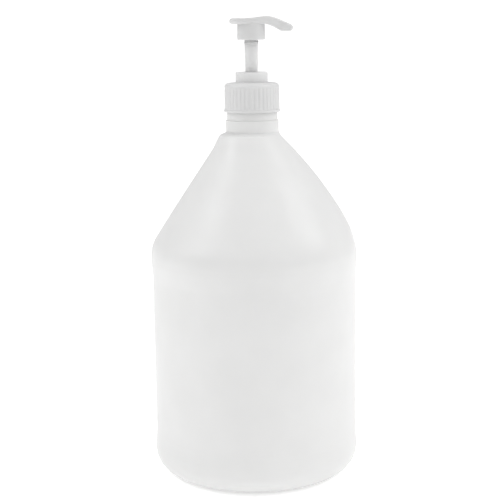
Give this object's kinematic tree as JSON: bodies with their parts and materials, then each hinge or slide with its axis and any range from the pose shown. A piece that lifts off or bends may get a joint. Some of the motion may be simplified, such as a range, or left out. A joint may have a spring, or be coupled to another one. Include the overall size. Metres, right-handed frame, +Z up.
{
  "type": "pump oil bottle",
  "caption": "Round translucent jug with a conical shoulder, ribbed screw closure and a lock-down lotion pump with a saddle head and spout.",
  "frame": {"origin": "centre of the jug's foot, on the surface it stands on", "axes": "+Z up along the jug and pump axis, +X towards the spout at rest"},
  "size_m": [0.155, 0.155, 0.3418],
  "materials": {
    "natural_hdpe": "satin translucent",
    "white_pp": "satin",
    "white_pe": "matt",
    "foam": "foam",
    "steel": "drawn wire",
    "ball_steel": "polished",
    "clear_tube": "translucent"
  },
  "bodies": {
    "jug": {"bottle": "natural_hdpe"},
    "pump": {"pump_housing": "white_pp", "gasket": "foam", "lock_collar": "white_pp", "stem_wiper": "white_pe", "valve_cage": "white_pp", "return_spring": "steel", "dip_tube": "clear_tube"},
    "cap": {"closure": "white_pp"},
    "plunger": {"piston": "white_pe"},
    "actuator": {"pump_head": "white_pp", "stem": "white_pp"},
    "inlet_valve": {"inlet_ball": "ball_steel"},
    "outlet_valve": {"outlet_ball": "ball_steel"}
  },
  "joints": [
    {"name": "pump_lift", "type": "slide", "parent": "jug", "child": "pump", "axis": [0, 0, 1], "range_m": [0, 0.00634]},
    {"name": "closure_turn", "type": "hinge", "parent": "pump", "child": "cap", "pos_m": [0, 0, 0.2829], "axis": [0, 0, 1], "range_deg": [0, 540]},
    {"name": "pump_stroke", "type": "slide", "parent": "pump", "child": "plunger", "axis": [0, 0, 1], "range_m": [-0.018, 0], "stiffness_N_per_m": 500, "springref_m": 0.014, "deforming": ["return_spring"]},
    {"name": "head_swivel", "type": "hinge", "parent": "plunger", "child": "actuator", "pos_m": [0, 0, 0.3203], "axis": [0, 0, 1], "continuous": true},
    {"name": "inlet_ball_lift", "type": "slide", "parent": "pump", "child": "inlet_valve", "axis": [0, 0, 1], "range_m": [0, 0.002]},
    {"name": "outlet_ball_lift", "type": "slide", "parent": "actuator", "child": "outlet_valve", "axis": [0, 0, 1], "range_m": [0, 0.0016]}
  ],
  "couplings": [
    {"joint": "closure_turn", "follows": "pump_lift", "rad_per_m": 1484.3}
  ]
}
